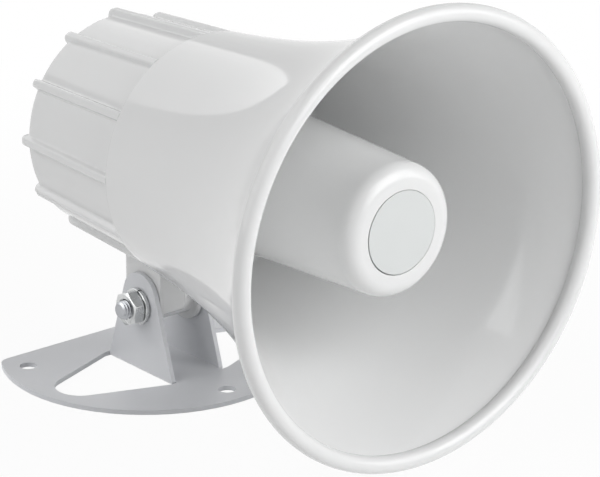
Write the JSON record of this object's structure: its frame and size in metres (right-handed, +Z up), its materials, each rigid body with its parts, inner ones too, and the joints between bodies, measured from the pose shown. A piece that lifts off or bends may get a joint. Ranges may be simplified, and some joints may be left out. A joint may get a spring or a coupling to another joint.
{
  "type": "pa horn speaker",
  "caption": "Small round re-entrant PA horn speaker with a ribbed rear cover, tilting on a folded mounting bracket.",
  "frame": {"origin": "underside of the bracket's base plate, straight below the tilt bolt", "axes": "-Y the way the horn faces, +Z up from the base plate, X along the tilt bolt"},
  "size_m": [0.1398, 0.1579, 0.1467],
  "materials": {
    "white_plastic": "glossy moulded",
    "grey_paint": "satin powder coat",
    "zinc_plate": "bright zinc plate",
    "plated_steel": "dull plate",
    "dark_ferrite": "sintered, matt",
    "black_rubber": "matt",
    "amber_film": "formed film",
    "copper_wire": "enamelled winding",
    "brown_board": "matt board"
  },
  "bodies": {
    "bracket": {"mounting_bracket": "grey_paint", "pivot_bolt": "zinc_plate", "hex_nut": "zinc_plate", "spring_washer": "zinc_plate", "flat_washer": "zinc_plate"},
    "horn": {"horn_bell": "white_plastic", "throat_tube": "white_plastic", "reflector_cup": "white_plastic", "cup_disc": "white_plastic", "rear_cover": "white_plastic", "driver_front_plate": "white_plastic", "phase_plug": "white_plastic", "cup_screw": "zinc_plate", "cable_grommet": "black_rubber", "seam_gasket": "black_rubber", "driver_gasket": "black_rubber", "diaphragm": "amber_film", "voice_coil": "copper_wire", "top_plate": "plated_steel", "yoke": "plated_steel", "magnet": "dark_ferrite", "terminal_strip": "brown_board", "terminal_lug_1": "zinc_plate", "terminal_lug_2": "zinc_plate", "cover_screw_1": "zinc_plate", "driver_screw_1": "zinc_plate", "cover_screw_2": "zinc_plate", "driver_screw_2": "zinc_plate", "cover_screw_3": "zinc_plate", "driver_screw_3": "zinc_plate", "cover_screw_4": "zinc_plate", "driver_screw_4": "zinc_plate"}
  },
  "joints": [
    {"name": "tilt", "type": "hinge", "parent": "bracket", "child": "horn", "pos_m": [0, 0, 0.0228], "axis": [-1, 0, 0], "range_deg": [-3, 70]}
  ]
}
